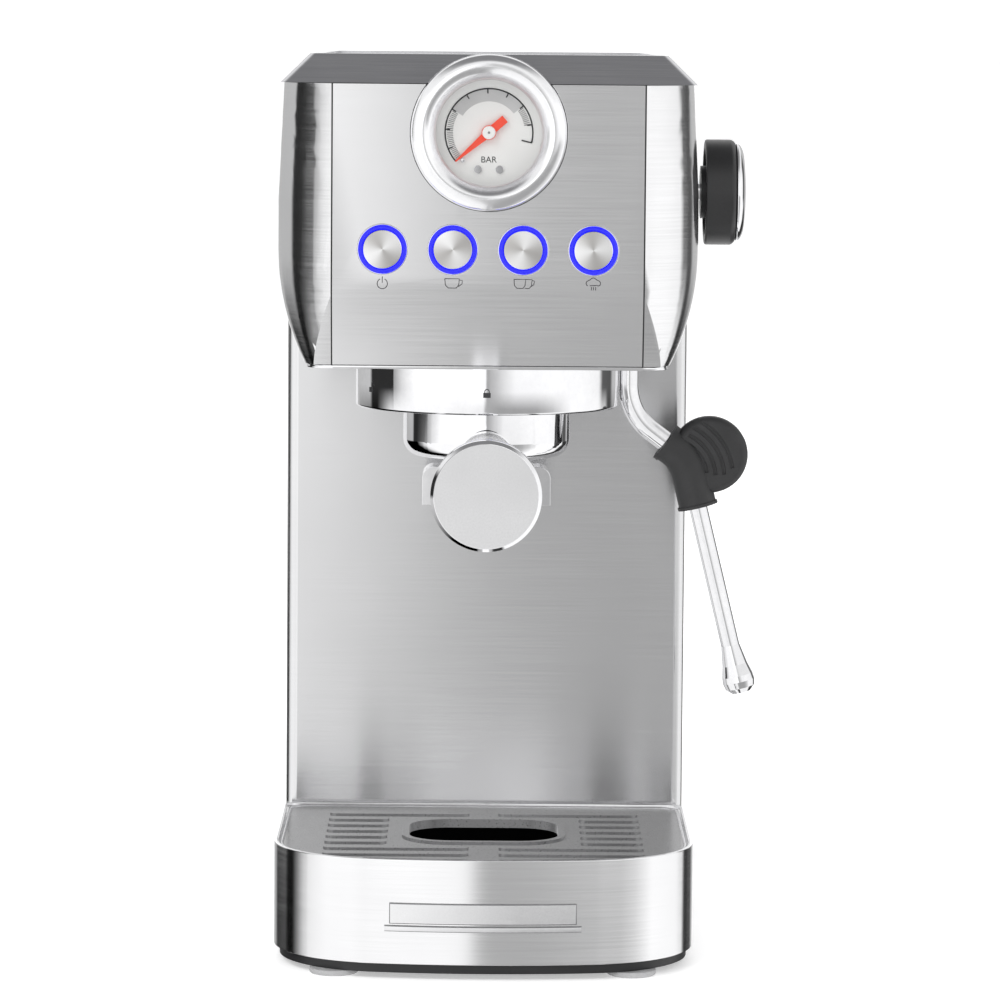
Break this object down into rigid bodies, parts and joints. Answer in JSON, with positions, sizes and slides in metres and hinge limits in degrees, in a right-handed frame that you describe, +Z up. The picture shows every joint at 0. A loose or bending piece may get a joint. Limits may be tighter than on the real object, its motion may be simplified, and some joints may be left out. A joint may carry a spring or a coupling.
{
  "type": "espresso machine",
  "caption": "Slim espresso machine: steel head with pressure gauge, lit buttons, steam knob and wand, long-handled portafilter, drip tray and rear water tank.",
  "frame": {"origin": "the middle of the footprint, on the surface the machine stands on", "axes": "+X to the machine's right seen from the front, -Y out of its front, +Z up"},
  "size_m": [0.1644, 0.4056, 0.306],
  "materials": {
    "black_plastic": "fine matt moulded ABS",
    "black_rubber": "matt moulded rubber",
    "grey_rubber": "light grey moulded rubber",
    "brushed_steel": "fine horizontal brush",
    "polished_steel": "bright polished stainless",
    "chrome": "mirror chrome plate",
    "dark_metal": "dark polished lacquer",
    "zinc_sheet": "plain galvanised sheet",
    "white_dial": "satin white print ground",
    "clear_glass": "clear flat glass",
    "blue_light": "clear ring lit blue",
    "circuit_board": "green solder mask",
    "brass": "turned brass",
    "cast_aluminium": "as-cast aluminium",
    "hose_silicone": "translucent silicone",
    "grey_grid": "dark grey satin",
    "red_needle": "flat signal red",
    "button_aluminium": "radially turned face",
    "satin_handle": "satin finish",
    "smoked_plastic": "clear smoked plastic"
  },
  "bodies": {
    "machine": {"base_chassis": "black_plastic", "rubber_feet": "grey_rubber", "column_panel": "brushed_steel", "inner_frame": "zinc_sheet", "rear_cover": "black_plastic", "head_fascia": "brushed_steel", "head_cheek_left": "polished_steel", "head_cheek_right": "polished_steel", "head_top_frame": "dark_metal", "cup_warmer_plate": "brushed_steel", "head_trim": "chrome", "head_underside": "black_plastic", "gauge_bezel": "chrome", "gauge_case": "zinc_sheet", "gauge_dial": "white_dial", "gauge_glass": "clear_glass", "dial_screws": "chrome", "button_light_rings": "blue_light", "button_board": "circuit_board", "steam_valve": "brass", "wand_socket": "chrome", "group_collar": "chrome", "group_head": "cast_aluminium", "group_gasket": "black_rubber", "shower_screen": "polished_steel", "shower_screw": "polished_steel", "tank_dock": "black_plastic", "pump": "dark_metal", "pump_mounts": "black_rubber", "thermoblock": "cast_aluminium", "brew_valve": "brass", "main_board": "circuit_board", "hoses": "hose_silicone", "cord_gland": "black_rubber"},
    "tray": {"drip_tray": "black_plastic", "drip_tray_front": "brushed_steel", "tray_name_plate": "polished_steel"},
    "grid": {"drip_grid": "grey_grid"},
    "needle": {"gauge_needle": "red_needle"},
    "power": {"power_button": "button_aluminium"},
    "single_cup": {"single_cup_button": "button_aluminium"},
    "double_cup": {"double_cup_button": "button_aluminium"},
    "steam": {"steam_button": "button_aluminium"},
    "knob": {"steam_knob": "black_plastic", "steam_knob_cap": "chrome", "steam_spindle": "polished_steel"},
    "wand": {"wand_pipe": "chrome", "wand_tube": "polished_steel", "wand_tip": "polished_steel", "wand_grip": "black_rubber"},
    "portafilter": {"portafilter_bowl": "chrome", "filter_basket": "polished_steel", "basket_clip": "polished_steel", "portafilter_spout": "chrome", "handle_ferrule": "chrome", "portafilter_handle": "satin_handle", "handle_end_cap": "satin_handle"},
    "tank": {"water_tank": "smoked_plastic"},
    "lid": {"tank_lid": "black_plastic"},
    "poppet": {"tank_valve": "black_rubber"}
  },
  "joints": [
    {"name": "tray_slide", "type": "slide", "parent": "machine", "child": "tray", "axis": [0, -1, 0], "range_m": [0, 0.13]},
    {"name": "grid_lift", "type": "slide", "parent": "tray", "child": "grid", "axis": [0, 0, 1], "range_m": [0, 0.05]},
    {"name": "needle_turn", "type": "hinge", "parent": "machine", "child": "needle", "pos_m": [0, -0.131, 0.2801], "axis": [0, 1, 0], "range_deg": [0, 234], "stiffness_Nm_per_rad": 0.0002},
    {"name": "knob_turn", "type": "hinge", "parent": "machine", "child": "knob", "pos_m": [0.071, -0.074, 0.2592], "axis": [1, 0, 0], "range_deg": [0, 270]},
    {"name": "wand_swivel", "type": "hinge", "parent": "machine", "child": "wand", "pos_m": [0.0488, -0.07, 0.2], "axis": [0, 0, 1], "range_deg": [-80, 35]},
    {"name": "portafilter_turn", "type": "hinge", "parent": "machine", "child": "portafilter", "pos_m": [0, -0.079, 0.185], "axis": [0, 0, -1], "range_deg": [0, 65]},
    {"name": "tank_lift", "type": "slide", "parent": "machine", "child": "tank", "axis": [0, 0, 1], "range_m": [0, 0.2]},
    {"name": "lid_hinge", "type": "hinge", "parent": "tank", "child": "lid", "pos_m": [0, 0.1524, 0.2945], "axis": [-1, 0, 0], "range_deg": [0, 95]},
    {"name": "valve_push", "type": "slide", "parent": "tank", "child": "poppet", "axis": [0, 0, 1], "range_m": [0, 0.003], "stiffness_N_per_m": 100, "springref_m": -0.001},
    {"name": "power_press", "type": "slide", "parent": "machine", "child": "power", "axis": [0, 1, 0], "range_m": [0, 0.0015], "stiffness_N_per_m": 400, "springref_m": -0.0005},
    {"name": "single_cup_press", "type": "slide", "parent": "machine", "child": "single_cup", "axis": [0, 1, 0], "range_m": [0, 0.0015], "stiffness_N_per_m": 400, "springref_m": -0.0005},
    {"name": "double_cup_press", "type": "slide", "parent": "machine", "child": "double_cup", "axis": [0, 1, 0], "range_m": [0, 0.0015], "stiffness_N_per_m": 400, "springref_m": -0.0005},
    {"name": "steam_press", "type": "slide", "parent": "machine", "child": "steam", "axis": [0, 1, 0], "range_m": [0, 0.0015], "stiffness_N_per_m": 400, "springref_m": -0.0005}
  ]
}
